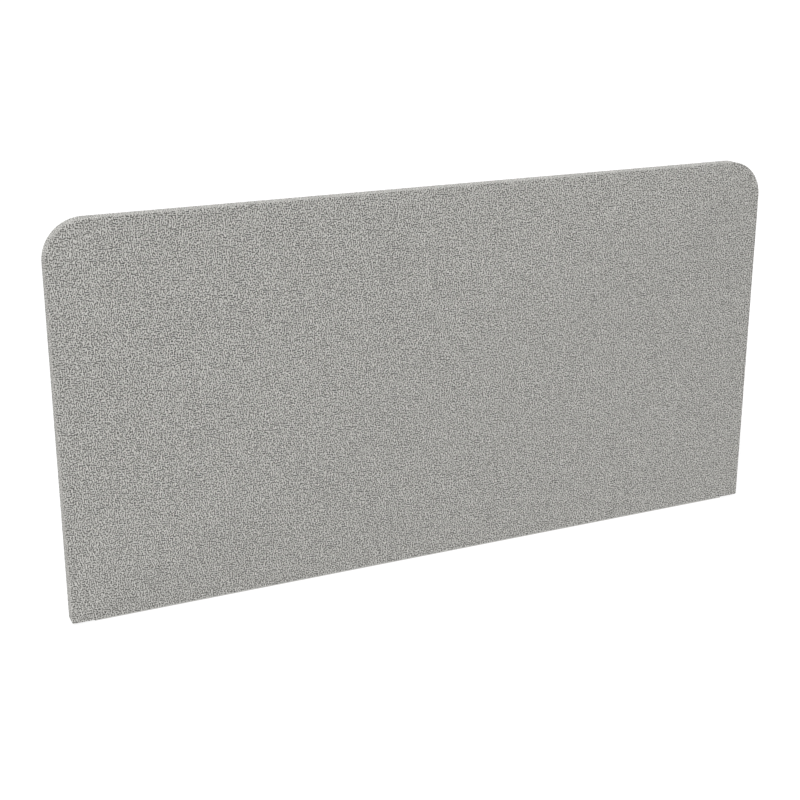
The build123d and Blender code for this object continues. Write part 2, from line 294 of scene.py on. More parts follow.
@dataclass(frozen=True)
class CrepeCloth:
    """A two-tone crepe: light warp and dark weft that float over each other irregularly.

    Tones are shares of the yarns' shade, and steps set one yarn's pattern apart from the next's.
    Some of the tone is painted light and shade: a yarn is lighter the higher it floats, darker the
    deeper it lies, and darker in the grooves between yarns.
    """

    name: str = "crepe_cloth"
    warp_shade: Triple = (0.442, 0.4368, 0.4165)
    weft_shade: Triple = (0.442, 0.4343, 0.4047)
    yarn_pitch: float = 1.7 * MM
    warp_limit: float = 0.05
    diagonal_pull: float = -0.27
    warp_tone: float = 1.3
    weft_tone: float = 0.6
    # painted light and shade: a yarn is lighter the higher it floats and darker the deeper it lies, down
    # to dark specks where the weft lies deepest; the heights are random, the light and shade on them is
    # painted
    warp_lift_painted_light: float = 0.65
    weft_depth_painted_shade: float = 1.15
    darkest_tone: float = 0.14
    weft_lanes: float = 517.0
    slub: float = 0.4
    slub_cells: float = 2.5
    slub_step: float = 7.31
    # painted shade: the colour darkens where the yarn's height falls, in the grooves between yarns, in
    # the ply grooves and where a yarn dips under
    painted_crevice_shade: float = 0.56
    painted_crevice_width: float = 0.33
    fibre: float = 0.55
    fibres_per_yarn: float = 9.0
    fibre_step: float = 3.7
    fibre_stretch: float = 0.2
    fibre_relief: float = 0.2
    twist: float = 0.8
    ply_step: float = 0.37
    ply_groove: float = 0.22
    ply_sharpness: float = 0.4
    dip_sharpness: float = 4.0
    yarn_depth: float = 0.3 * MM
    wander: float = 0.8
    wander_size: float = 12.0 * MM
    jitter: float = 0.35
    jitter_size: float = 2.2 * MM
    roughness: float = 0.92
    sheen: float = 0.06
    gloss: float = 0.25

    def make(self) -> Material:
        """Builds the weave on the piece's own map, whose units are metres of cloth.

        Returns:
            The material.
        """
        shader = Shader(
            self.name,
            Roughness=self.roughness,
            Sheen_Weight=self.sheen,
            Specular_IOR_Level=self.gloss,
        )
        yarns = shader.node("ShaderNodeSeparateXYZ", Vector=self._yarns(shader))
        across, up = (Wire(shader, yarns.outputs[axis]) for axis in ("X", "Y"))
        column, row = (shader.math("FLOOR", place) for place in (across, up))
        in_column, in_row = (shader.math("FRACT", place) for place in (across, up))
        lift = self._lift(shader, column, row)
        warp = self._on_top(shader, lift)
        weft = 1.0 - warp
        lift_before = self._lift(shader, column - weft, row - warp)
        lift_after = self._lift(shader, column + weft, row + warp)
        lane = shader.pick(warp, column, row + self.weft_lanes)
        side = shader.pick(warp, in_column, in_row)
        along = shader.pick(warp, in_row, in_column)
        run = shader.pick(warp, up, across)
        turned = run * self.twist + side

        offset = side * 2.0 - 1.0
        crown = 1.0 - offset * offset
        for lift_beside, near in ((lift_before, 1.0 - along), (lift_after, along)):
            goes_under = abs(warp - self._on_top(shader, lift_beside))
            crown = crown - goes_under * near**self.dip_sharpness
        wave = abs(shader.math("SINE", (lane * self.ply_step + turned) * math.pi))
        plies = shader.between(wave**self.ply_sharpness, 1.0 - self.ply_groove, 1.0)
        height = shader.math("MAXIMUM", crown, 0.0) * plies
        fibre_place = shader.place(lane * self.fibre_step + turned, run * self.fibre_stretch)
        fibres = shader.noise(fibre_place, 1 / self.fibres_per_yarn, detail=3.0)
        slub_place = shader.place(lane * self.slub_step, run / self.slub_cells)
        slubs = shader.noise(slub_place, 1.0, detail=1.0)

        # painted light and shade: the tone rises with how high the yarn floats and falls with how deep
        # it lies, floored at the darkest tone
        eased = self._eased(shader, along, lift_before, lift, lift_after)
        painted_light_slope = shader.pick(warp, self.warp_lift_painted_light, self.weft_depth_painted_shade)
        tone = eased * painted_light_slope + shader.pick(warp, self.warp_tone, self.weft_tone)
        tone = shader.math("MAXIMUM", tone, self.darkest_tone)
        for effect in (
            shader.between(slubs, 1.0 - self.slub, 1.0 + self.slub),
            # painted shade in the grooves between yarns, in the ply grooves and where a yarn dips under:
            # the tone falls with the yarn's height
            shader.between(height**self.painted_crevice_width, self.painted_crevice_shade, 1.0),
            shader.between(fibres, 1.0 - self.fibre, 1.0 + self.fibre),
        ):
            tone = tone * effect
        shade = shader.blend(warp, self.weft_shade, self.warp_shade)
        relief = fibres * self.fibre_relief + height
        return shader.dress(shader.scaled(shade, tone), relief, self.yarn_depth)

    def _yarns(self, shader: Shader) -> Wire:
        """Measures the cloth in yarns, which wander and jitter a little.

        Args:
            shader: The material being made.

        Returns:
            The place on the cloth, in yarns across and up.
        """
        flat = shader.result("ShaderNodeUVMap", "UV", {"uv_map": WEAVE_MAP})
        place = shader.scaled(flat, 1 / self.yarn_pitch)
        for amount, size in ((self.wander, self.wander_size), (self.jitter, self.jitter_size)):
            place = shader.vector("ADD", place, shader.scaled(shader.drift(flat, size), amount))
        return place

    def _lift(self, shader: Shader, column: Wire, row: Wire) -> Wire:
        """Lifts the warp at each crossing, away from its four diagonal neighbours.

        So the crepe has no diagonal lines, few long floats and an even tone from a distance.

        Args:
            shader: The material being made.
            column: The number of the warp yarn.
            row: The number of the weft yarn.

        Returns:
            How far the warp comes up.
        """
        lean = shader.chance(column, row)
        for step_x in (-1.0, 1.0):
            for step_y in (-1.0, 1.0):
                neighbour = shader.chance(column + step_x, row + step_y)
                lean = neighbour * self.diagonal_pull + lean
        return self.warp_limit - lean

    def _on_top(self, shader: Shader, lift: Wire) -> Wire:
        """Returns 1 where the warp lies on top of the weft, and else 0."""
        return shader.math("GREATER_THAN", lift, 0.0)

    def _eased(self, shader: Shader, along: Wire, before: Wire, here: Wire, after: Wire) -> Wire:
        """Runs a value smoothly along a yarn, from cell to cell.

        Args:
            shader: The material being made.
            along: The place in this cell along the yarn, from 0 to 1.
            before: The value of the last cell.
            here: The value of this cell.
            after: The value of the next cell.

        Returns:
            The value of this cell at its middle, and halfway to its neighbour's at its ends.
        """
        eased = here
        for neighbour, share in ((before, 0.5 - along), (after, along - 0.5)):
            eased = (neighbour - here) * shader.math("MAXIMUM", share, 0.0) + eased
        return eased


@dataclass(frozen=True)
class Cloud:
    """A cloudy pattern, with its shares of a finish's tone, relief and roughness."""

    size: float
    tone: float = 0.0
    relief: float = 0.0
    roughness: float = 0.0
    detail: float = 2.0
    stretch: Triple = (1.0, 1.0, 1.0)


@dataclass(frozen=True)
class CloudyFinish:
    """A plain shade that clouds break up."""

    name: str
    shade: Triple
    tones: Span = (0.8, 1.2)
    roughness: float = 0.5
    roughness_change: float = 0.0
    depth: float = 0.1 * MM
    metal: float = 0.0
    sheen: float = 0.0
    gloss: float = 0.5

    def clouds(self) -> list[Cloud]:
        """Returns the finish's patterns."""
        return []

    def make(self) -> Material:
        """Builds the finish.

        Returns:
            The material.
        """
        shader = Shader(
            self.name,
            Roughness=self.roughness,
            Metallic=self.metal,
            Sheen_Weight=self.sheen,
            Specular_IOR_Level=self.gloss,
        )
        tones, heights, hazes = [], [], []
        for cloud in self.clouds():
            noise = shader.noise(shader.here(*cloud.stretch), cloud.size, cloud.detail)
            shares = (cloud.tone, cloud.relief, cloud.roughness)
            for parts, share in zip((tones, heights, hazes), shares):
                if share:
                    parts.append(noise * share)
        colour = shader.scaled(self.shade, shader.between(shader.total(tones), *self.tones))
        rough = None
        if hazes:
            low = self.roughness - self.roughness_change
            rough = shader.between(shader.total(hazes), low, self.roughness + self.roughness_change)
        return shader.dress(colour, shader.total(heights), self.depth, rough)


@dataclass(frozen=True)
class PressedFelt(CloudyFinish):
    """Needled fibre, as in liners and wadding."""

    tones: Span = (0.82, 1.18)
    roughness: float = 0.97
    depth: float = 0.4 * MM
    sheen: float = 0.15
    gloss: float = 0.2
    fibre_size: float = 0.5 * MM
    tuft_size: float = 6.0 * MM

    def clouds(self) -> list[Cloud]:
        """Returns fine fibres and soft tufts."""
        fibres = Cloud(self.fibre_size, tone=1.0, relief=1.0, detail=4.0, stretch=(1.0, 1.0, 0.35))
        return [fibres, Cloud(self.tuft_size, tone=0.5, relief=0.5)]


@dataclass(frozen=True)
class AnodisedExtrusion(CloudyFinish):
    """Satin anodised aluminium, with fine die lines along its length."""

    name: str = "anodised_extrusion"
    shade: Triple = (0.5, 0.495, 0.475)
    tones: Span = (0.9, 1.08)
    roughness: float = 0.38
    roughness_change: float = 0.08
    depth: float = 0.02 * MM
    metal: float = 1.0
    line_width: float = 0.35 * MM
    line_length: float = 400.0 * MM
    bloom_size: float = 30.0 * MM

    def clouds(self) -> list[Cloud]:
        """Draws the die lines out along the length, and adds a faint bloom.

        Returns:
            The lines and the bloom.
        """
        along = (self.line_width / self.line_length, 1.0, 1.0)
        lines = Cloud(self.line_width, tone=1.0, relief=1.0, roughness=0.5, detail=3.0, stretch=along)
        return [lines, Cloud(self.bloom_size, roughness=0.5)]


@dataclass(frozen=True)
class MouldedNylon(CloudyFinish):
    """Grey moulded plastic with a fine spark-eroded texture."""

    name: str = "moulded_nylon"
    shade: Triple = (0.34, 0.338, 0.325)
    tones: Span = (0.94, 1.06)
    roughness: float = 0.51
    roughness_change: float = 0.09
    depth: float = 0.03 * MM
    gloss: float = 0.45
    pip_size: float = 0.25 * MM
    flow_size: float = 6.0 * MM

    def clouds(self) -> list[Cloud]:
        """Returns the mould's fine texture and a faint flow."""
        pips = Cloud(self.pip_size, relief=1.0, roughness=1.0)
        return [pips, Cloud(self.flow_size, tone=1.0, detail=1.0)]


@dataclass(frozen=True)
class ZincSteel(CloudyFinish):
    """Bright zinc-plated steel, a little uneven where the plating pooled."""

    tones: Span = (0.85, 1.1)
    roughness: float = 0.34
    roughness_change: float = 0.1
    depth: float = 0.015 * MM
    metal: float = 1.0
    pool_size: float = 1.8 * MM
    scratch_size: float = 0.3 * MM

    def clouds(self) -> list[Cloud]:
        """Returns pooled plating and fine scratches."""
        scratches = Cloud(
            self.scratch_size, relief=1.0, roughness=1.0, detail=3.0, stretch=(0.12, 1.0, 1.0)
        )
        return [Cloud(self.pool_size, tone=1.0, detail=3.0), scratches]


@dataclass(frozen=True)
class SewingThread(CloudyFinish):
    """Bonded polyester thread, a shade darker than the cloth."""

    name: str = "sewing_thread"
    shade: Triple = (0.3, 0.297, 0.284)
    roughness: float = 0.7
    depth: float = 0.06 * MM
    sheen: float = 0.1
    gloss: float = 0.35
    ply_size: float = 0.18 * MM

    def clouds(self) -> list[Cloud]:
        """Returns the twist of the plies."""
        return [Cloud(self.ply_size, tone=1.0, relief=1.0, stretch=(1.0, 0.5, 1.0))]


@dataclass(frozen=True)
class WoodFibreboard:
    """Pressed wood fibre, as in a pinnable acoustic core."""

    name: str = "wood_fibreboard"
    shade: Triple = (0.42, 0.29, 0.16)
    fleck_shade: Triple = (0.62, 0.5, 0.34)
    fleck_size: float = 3.0 * MM
    fleck_sharpness: float = 2.0
    depth: float = 0.6 * MM

    def make(self) -> Material:
        """Builds matted fibres with pale flecks.

        Returns:
            The material.
        """
        shader = Shader(self.name, Roughness=0.93, Specular_IOR_Level=0.2)
        flecks = shader.noise(shader.here(1.0, 1.0, 0.5), self.fleck_size, detail=6.0)
        colour = shader.blend(flecks**self.fleck_sharpness, self.shade, self.fleck_shade)
        return shader.dress(colour, flecks, self.depth)


@dataclass(frozen=True)
class SawnTimber:
    """Planed softwood or beech, with its grain along one axis."""

    name: str
    early_wood: Triple
    late_wood: Triple
    grain: Grain
    ring_width: float = 5.0 * MM
    figure_length: float = 520.0 * MM
    figure_width: float = 4.0
    rings_across: float = 7.0
    late_sharpness: float = 3.0
    late_relief: float = 0.6
    pore_size: float = 0.6 * MM
    pore_shade: float = 0.3
    roughness: Span = (0.5, 0.75)
    depth: float = 0.12 * MM

    def make(self) -> Material:
        """Builds growth rings and pores that run with the grain.

        Returns:
            The material.
        """
        shader = Shader(self.name, Specular_IOR_Level=0.35)
        stretch = [1.0, 1.0, 1.0]
        stretch[self.grain.value] = self.ring_width / self.figure_length
        place = shader.here(*stretch)
        figure = shader.noise(place, self.figure_width * self.ring_width, detail=3.0)
        late = shader.math("FRACT", figure * self.rings_across) ** self.late_sharpness
        pores = shader.noise(place, self.pore_size)
        colour = shader.blend(pores * self.pore_shade + late, self.early_wood, self.late_wood)
        relief = late * self.late_relief + pores
        return shader.dress(colour, relief, self.depth, shader.between(pores, *self.roughness))


class GrowingTree(NodePlan):
    """A geometry node tree with named sizes, which grows a plain mesh."""

    def __init__(self, name: str) -> None:
        """Starts an empty tree that takes a geometry in and gives one out.

        Args:
            name: The tree's name.
        """
        super().__init__(bpy.data.node_groups.new(name, "GeometryNodeTree"))
        self.tree.is_modifier = True
        for way in ("INPUT", "OUTPUT"):
            kind = "NodeSocketGeometry"
            self.tree.interface.new_socket("Geometry", in_out=way, socket_type=kind)
        self.inlet = self.tree.nodes.new("NodeGroupInput")
        self.values: dict[str, float] = {}

    @property
    def carrier(self) -> Wire:
        """The geometry that the tree takes in."""
        return Wire(self, self.inlet.outputs["Geometry"])

    def sizes(self, owner: object, *names: str, **others: float) -> list[Wire]:
        """Adds a named input for each size.

        Args:
            owner: The sub-assembly that holds the sizes.
            names: The names of its fields.
            others: Sizes that aren't among its fields.

        Returns:
            The inputs, in the same order.
        """
        wires = []
        for name, value in ({name: getattr(owner, name) for name in names} | others).items():
            title = name.replace("_", " ").capitalize()
            item = self.tree.interface.new_socket(title, socket_type="NodeSocketFloat")
            self.values[item.identifier] = value
            wires.append(Wire(self, self.inlet.outputs[title]))
        return wires

    def mesh(self, kind: str, settings: dict | None = None, **inputs: Feed) -> Wire:
        """Adds a geometry node of this kind, and returns its mesh."""
        return self.result(f"GeometryNode{kind}", "Mesh", settings, **inputs)

    def curve(self, kind: str, settings: dict | None = None, **inputs: Feed) -> Wire:
        """Adds a geometry node of this kind, and returns its curve."""
        return self.result(f"GeometryNode{kind}", "Curve", settings, **inputs)

    def whole(self, kind: str, **inputs: Feed) -> Wire:
        """Adds a geometry node of this kind, and returns its geometry."""
        return self.result(f"GeometryNode{kind}", "Geometry", **inputs)

    def moved(self, geometry: Wire, place: Feed = (0.0, 0.0, 0.0), **changes: Triple) -> Wire:
        """Returns a geometry moved, and turned or scaled before that."""
        return self.whole("Transform", Geometry=geometry, Translation=place, **changes)

    def swept(self, path: Wire, section: Wire) -> Wire:
        """Returns a section swept along a path, with its ends closed."""
        return self.mesh("CurveToMesh", Curve=path, Profile_Curve=section, Fill_Caps=True)

    def filleted(self, curve: Wire, radius: Wire, steps: int) -> Wire:
        """Returns a curve with its corners rounded."""
        return self.curve("FilletCurve", {"mode": "POLY"}, Curve=curve, Count=steps, Radius=radius)

    def helix(self, steps: int, turns: Wire, radius: Wire, height: Wire) -> Wire:
        """Returns a rising helix with this many steps to a turn."""
        radii = {"Start_Radius": radius, "End_Radius": radius}
        return self.curve("CurveSpiral", Resolution=steps, Rotations=turns, Height=height, **radii)

    def faced(self, axis: str, way: Wire, **start: Wire) -> Wire:
        """Turns an axis to a direction.

        Args:
            axis: The axis.
            way: The direction.
            start: The rotation to start from, if there is one, as Rotation.

        Returns:
            The rotation.
        """
        settings = {"axis": axis, "pivot_axis": "Z" if start else "AUTO"}
        kind = "FunctionNodeAlignRotationToVector"
        return self.result(kind, "Rotation", settings, Vector=way, **start)

    def repeated(self, unit: Wire, points: Wire, **turn: Wire) -> Wire:
        """Returns a copy of a unit at each point, turned if there is a rotation."""
        inputs = {"Points": points, "Instance": unit, **turn}
        return self.result("GeometryNodeInstanceOnPoints", "Instances", **inputs)

    def grow(self, name: str, carrier: Mesh, grown: Wire, material: Material) -> Mesh:
        """Ends the tree and grows it on a mesh.

        Args:
            name: The new mesh's name.
            carrier: The mesh that the tree takes in.
            grown: The geometry that the tree makes of it.
            material: The new mesh's material.

        Returns:
            The new mesh.
        """
        real = self.whole("RealizeInstances", Geometry=grown)
        dressed = self.whole("SetMaterial", Geometry=real, Material=material)
        self.node("NodeGroupOutput", Geometry=dressed)
        seed = link_piece(carrier)
        modifier = seed.modifiers.new("growth", "NODES")
        modifier.node_group = self.tree
        for identifier, value in self.values.items():
            modifier[identifier] = value
        depsgraph = bpy.context.evaluated_depsgraph_get()
        evaluated = seed.evaluated_get(depsgraph)
        mesh = bpy.data.meshes.new_from_object(evaluated, depsgraph=depsgraph)
        seed.modifiers.remove(modifier)
        bpy.data.objects.remove(seed)
        mesh.name = name
        mesh.materials.clear()
        mesh.materials.append(material)
        mesh.polygons.foreach_set("material_index", [0] * len(mesh.polygons))
        return mesh


class Shell:
    """A closed surface over a row of rings."""

    def __init__(self, rings: list[list[Vector]], fanned: bool = False) -> None:
        """Joins each ring to the next one, and closes the first and the last ring.

        Args:
            rings: The points of each ring, all in the same order.
            fanned: Whether each closing face is split from a point at its middle.
        """
        self.shape = bmesh.new()
        self.rings = [[self.shape.verts.new(point) for point in ring] for ring in rings]
        for lower, upper in pairwise(self.rings):
            for i, vertex in enumerate(lower):
                j = (i + 1) % len(lower)
                self.shape.faces.new((vertex, lower[j], upper[j], upper[i]))
        ends = [self.shape.faces.new(ring) for ring in (self.rings[0], self.rings[-1])]
        self.hubs = bmesh.ops.poke(self.shape, faces=ends)["verts"] if fanned else []
        bmesh.ops.recalc_face_normals(self.shape, faces=self.shape.faces)

    def map_cloth(self, rows: list[list[Span]], hubs: Sequence[Span] = ()) -> None:
        """Lays the shell out flat on the cloth, in metres.

        Args:
            rows: The flat place of each point of each ring.
            hubs: The flat place of the middle of each closing face.
        """
        places = dict(zip(self.hubs, hubs))
        for ring, row in zip(self.rings, rows):
            places.update(zip(ring, row))
        cloth_map = self.shape.loops.layers.uv.new(WEAVE_MAP)
        for face in self.shape.faces:
            for loop in face.loops:
                loop[cloth_map].uv = places[loop.vert]

    def mesh(self, name: str, *materials: Material) -> Mesh:
        """Turns the shell into a plain mesh.

        Args:
            name: The mesh's name.
            materials: Its materials.

        Returns:
            The mesh.
        """
        mesh = bpy.data.meshes.new(name)
        self.shape.to_mesh(mesh)
        self.shape.free()
        for material in materials:
            mesh.materials.append(material)
        return mesh


def plain_mesh(name: str, points: Sequence, edges: Sequence = (), faces: Sequence = ()) -> Mesh:
    """Makes a mesh of points, and of the edges or faces between them.

    Args:
        name: The mesh's name.
        points: The places of its points.
        edges: The numbers of the two points of each edge.
        faces: The numbers of the points of each face.

    Returns:
        The mesh.
    """
    mesh = bpy.data.meshes.new(name)
    mesh.from_pydata(points, edges, faces)
    return mesh


def link_piece(mesh: Mesh) -> Object:
    """Puts a mesh in the scene as an object of its name, at the origin.

    Args:
        mesh: The mesh.

    Returns:
        The object.
    """
    piece = bpy.data.objects.new(mesh.name, mesh)
    bpy.context.scene.collection.objects.link(piece)
    return piece


def finished(mesh: Mesh, node: str = "", body: str = "screen") -> Object:
    """Smooths a mesh and puts it in the scene as a piece of the object.

    Args:
        mesh: The mesh, which gives the piece its name.
        node: The construction's node that the piece stands for, if there is one.
        body: The body that the piece rides on.

    Returns:
        The piece.
    """
    mesh.shade_smooth()
    mesh.set_sharp_from_angle(angle=SHARP_ANGLE)
    piece = link_piece(mesh)
    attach(piece, body)
    if node:
        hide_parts(node)
    return piece


def spread(count: int, span: float) -> list[float]:
    """Returns places that divide a span evenly, ends included, with 0 at its middle."""
    return [span * (i / (count - 1) - 0.5) for i in range(count)]


def quarter_arc(quarter: int, steps: int) -> list[Span]:
    """Returns the cosine and sine of each step along a quarter, counted on from the X axis."""
    angles = [QUARTER * (quarter + i / steps) for i in range(steps + 1)]
    return [(math.cos(angle), math.sin(angle)) for angle in angles]


@dataclass(frozen=True)
class OutlinePoint:
    """One place on the screen's outline, seen from the front."""

    x: float
    z: float
    out_x: float
    out_z: float
    edge: Edge = Edge.SEAM

    def at(self, inset: float, y: float) -> Vector:
        """Returns the place in space at an inset from the outline and a depth along Y."""
        return Vector((self.x - self.out_x * inset, y, self.z - self.out_z * inset))


@dataclass
class PanelOutline:
    """The screen's outline: two large top corners and two small foot corners.

    Its points go round from the left end of the bottom edge, along it to the right, up the right
    side and back over the top.
    """

    half_width: float
    bottom: float
    top: float
    corner_radius: float = 80.0 * MM
    foot_radius: float = 2.0 * MM
    tab_end: float = 784.0 * MM
    tab_slope: float = 0.1 * MM
    flap_end: float = 755.2 * MM
    flap_slope: float = 0.3 * MM
    corner_steps: int = 28
    foot_steps: int = 5
    side_steps: int = 16
    top_steps: int = 32
    points: list[OutlinePoint] = field(init=False, default_factory=list)

    def __post_init__(self) -> None:
        """Lays the points out, once the sizes are known."""
        foot_x, foot_z = self.half_width - self.foot_radius, self.bottom + self.foot_radius
        corner_x, corner_z = self.half_width - self.corner_radius, self.top - self.corner_radius
        cuts = [(foot_x, Edge.SEAM), (self.tab_end, Edge.SEAM)]
        cuts += [(self.tab_end - self.tab_slope, Edge.FLAP), (self.flap_end, Edge.FLAP)]
        hem = spread(self.top_steps + 1, 2 * (self.flap_end - self.flap_slope))
        left = [(-x, edge) for x, edge in cuts]
        for x, edge in left + [(x, Edge.HEM) for x in hem] + cuts[::-1]:
            self.points.append(OutlinePoint(x, self.bottom, 0.0, -1.0, edge))
        self._arc(foot_x, foot_z, self.foot_radius, -1, self.foot_steps)
        self._line(self.half_width, corner_z, self.side_steps)
        self._arc(corner_x, corner_z, self.corner_radius, 0, self.corner_steps)
        self._line(-corner_x, self.top, self.top_steps)
        self._arc(-corner_x, corner_z, self.corner_radius, 1, self.corner_steps)
        self._line(-self.half_width, foot_z, self.side_steps)
        self._arc(-foot_x, foot_z, self.foot_radius, 2, self.foot_steps)
        self.points.pop()

    def _arc(self, x: float, z: float, radius: float, quarter: int, steps: int) -> None:
        """Goes on round a quarter of a circle about a centre."""
        for out_x, out_z in quarter_arc(quarter, steps)[1:]:
            self.points.append(OutlinePoint(x + radius * out_x, z + radius * out_z, out_x, out_z))

    def _line(self, x: float, z: float, steps: int) -> None:
        """Goes straight on to a place.

        Args:
            x: Where the line ends, along X.
            z: Where it ends, along Z.
            steps: How many points it has.
        """
        start = self.points[-1]
        for i in range(1, steps + 1):
            share = i / steps
            place = (start.x + (x - start.x) * share, start.z + (z - start.z) * share)
            self.points.append(OutlinePoint(*place, start.out_x, start.out_z))

    def sewn(self) -> list[OutlinePoint]:
        """Follows the seam up the right side, over the top and down the left side.

        Returns:
            The points with a seam, from the right tab's end to the left tab's end.
        """
        points = [point for point in self.points if point.edge is Edge.SEAM]
        start = next(i for i, point in enumerate(points) if point.x > 0.0)
        return points[start:] + points[:start]


@dataclass
class SewnCover:
    """The fabric: two faces with hems, the strip between them, and the seams' stitches."""

    outline: PanelOutline
    half_depth: float
    arris_radius: float = 0.9 * MM
    cloth: float = 0.95 * MM
    inner_lap: float = 0.5 * MM
    seam_y: float = 13.0 * MM
    seam_gap: float = 0.12 * MM
    hem_y: float = 9.0 * MM
    flap_gap: float = 0.1 * MM
    lip: float = 0.44 * MM
    strip_lip: float = 0.9 * MM
    seam_valley: float = 0.85 * MM
    hem_valley: float = 0.15 * MM
    lip_steps: int = 4
    arris_steps: int = 6
    stitch_pitch: float = 3.6 * MM
    stitch_length: float = 1.7 * MM
    stitch_rise: float = 0.5 * MM
    stitch_depth: float = 0.6 * MM
    stitch_slant: float = math.radians(24.0)
    stitch_steps: int = 4
    thread_radius: float = 0.2 * MM
    thread_sides: int = 6

    def build(self, weave: Material, thread: Material) -> list[Object]:
        """Makes every piece of the cover, from its two materials."""
        faces = [self._face(side, weave) for side in Side]
        return [*faces, self._strip(weave), self._stitches(thread)]

    def _face(self, side: Side, weave: Material) -> Object:
        """Makes one face with its arris, its seam edge and its hem, as a closed shell.

        Args:
            side: Which face.
            weave: The cloth's material.

        Returns:
            The piece.
        """
        sections = {edge: self._section(edge) for edge in Edge}
        rings, rows = [], []
        for level in range(len(sections[Edge.SEAM])):
            ring, row = [], []
            for point in self.outline.points:
                inset, depth, unrolled = sections[point.edge][level]
                ring.append(point.at(inset, side.value * depth))
                flat = point.at(self.arris_radius - unrolled, 0.0)
                row.append((-side.value * flat.x, flat.z))
            rings.append(ring)
            rows.append(row)
        shell = Shell(rings, fanned=True)
        shell.map_cloth(rows, [(-side.value * hub.co.x, hub.co.z) for hub in shell.hubs])
        stem = side.name.lower()
        cloth = shell.mesh(f"{stem}_cover_cloth", weave)
        piece = finished(cloth, f"{stem}_cover")
        height = self.outline.top - self.outline.bottom
        drop = self.half_depth - self.seam_y
        height + drop + self.half_depth - self.hem_y
        return piece

    def _section(self, edge: Edge) -> list[Triple]:
        """Draws the cloth's section where it leaves a face, from its inside to its outside.

        Args:
            edge: What the cloth does there.

        Returns:
            Inset, depth and unrolled distance from the flat of the face, for each ring.
        """
        radius, face = self.arris_radius, self.half_depth
        turn = radius * QUARTER
        end = {
            Edge.SEAM: self.seam_y + self.seam_gap / 2,
            Edge.HEM: self.hem_y,
            Edge.FLAP: self.flap_gap,
        }[edge]
        reach = turn + face - radius - end
        valley = self.seam_valley if edge is Edge.SEAM else self.hem_valley
        inside = [
            (radius + self.inner_lap, face - self.cloth, -self.inner_lap),
            (self.cloth, face - self.cloth, turn),
            (self.cloth, end, reach + self.cloth),
        ]
        lip = [
            (
                valley * (1 - sine),
                end + self.lip * (1 - cosine),
                reach + (valley - self.lip) * (i / self.lip_steps),
            )
            for i, (cosine, sine) in enumerate(quarter_arc(0, self.lip_steps))
        ]
        arris = [
            (radius * (1 - cosine), face - radius * (1 - sine), turn * (1 - i / self.arris_steps))
            for i, (cosine, sine) in enumerate(quarter_arc(0, self.arris_steps))
        ]
        return inside + lip + arris

    def _strip(self, weave: Material) -> Object:
        """Makes the strip round the sides and the top, with a tab turned under at each end.

        Args:
            weave: The cloth's material.

        Returns:
            The piece.
        """
        seam = self.seam_y - self.seam_gap / 2
        lip = [
            (self.seam_valley * (1 - sine), seam - self.strip_lip * (1 - cosine))
            for cosine, sine in quarter_arc(0, self.lip_steps)
        ]
        section = [(inset, -y) for inset, y in lip] + [(0.0, 0.0)] + lip[::-1]
        section += [(self.cloth, y) for y in (seam, 0.0, -seam)]
        rings, rows, run = [], [], 0.0
        path = self.outline.sewn()
        for last, point in zip(path[:1] + path, path):
            run += math.hypot(point.x - last.x, point.z - last.z)
            rings.append([point.at(inset, y) for inset, y in section])
            rows.append([(y, run) for _, y in section])
        shell = Shell(rings)
        shell.map_cloth(rows)
        piece = finished(shell.mesh("edge_strip_cloth", weave), "edge_strip")
        return piece

    def _stitches(self, thread: Material) -> Object:
        """Makes the thread that crosses each seam, stitch by stitch.

        Args:
            thread: The thread's material.

        Returns:
            The stitches of both seams, as one piece.
        """
        tree = GrowingTree("seam_stitches")
        pitch, length, rise, slant, radius = tree.sizes(
            self, "stitch_pitch", "stitch_length", "stitch_rise", "stitch_slant", "thread_radius"
        )
        start, end = (tree.place(y=length * share) for share in (-0.5, 0.5))
        bow = {"Start": start, "Middle": tree.place(z=rise), "End": end}
        arch = tree.curve("CurveQuadraticBezier", Resolution=self.stitch_steps, **bow)
        round_section = tree.curve("CurvePrimitiveCircle", Resolution=self.thread_sides, Radius=radius)
        stitch = tree.swept(arch, round_section)
        seam = tree.curve("MeshToCurve", Mesh=tree.carrier)
        spaced = tree.curve("ResampleCurve", {"mode": "LENGTH"}, Curve=seam, Length=pitch)
        onward = tree.result("GeometryNodeInputTangent", "Tangent")
        outward = tree.vector("CROSS_PRODUCT", (0.0, 1.0, 0.0), onward)
        upright = tree.faced("X", onward, Rotation=tree.faced("Z", outward))
        lean = tree.result("FunctionNodeEulerToRotation", "Rotation", Euler=tree.place(z=slant))
        turns = {"Rotation": upright, "Rotate_By": lean}
        local = {"rotation_space": "LOCAL"}
        slanted = tree.result("FunctionNodeRotateRotation", "Rotation", local, **turns)
        points, edges = [], []
        for side in Side:
            first = len(points)
            y = side.value * self.seam_y
            points += [point.at(self.stitch_depth, y) for point in self.outline.sewn()]
            edges += pairwise(range(first, len(points)))
        seams = plain_mesh("seam_lines", points, edges)
        copies = tree.repeated(stitch, spaced, Rotation=slanted)
        return finished(tree.grow("seam_stitches", seams, copies, thread))


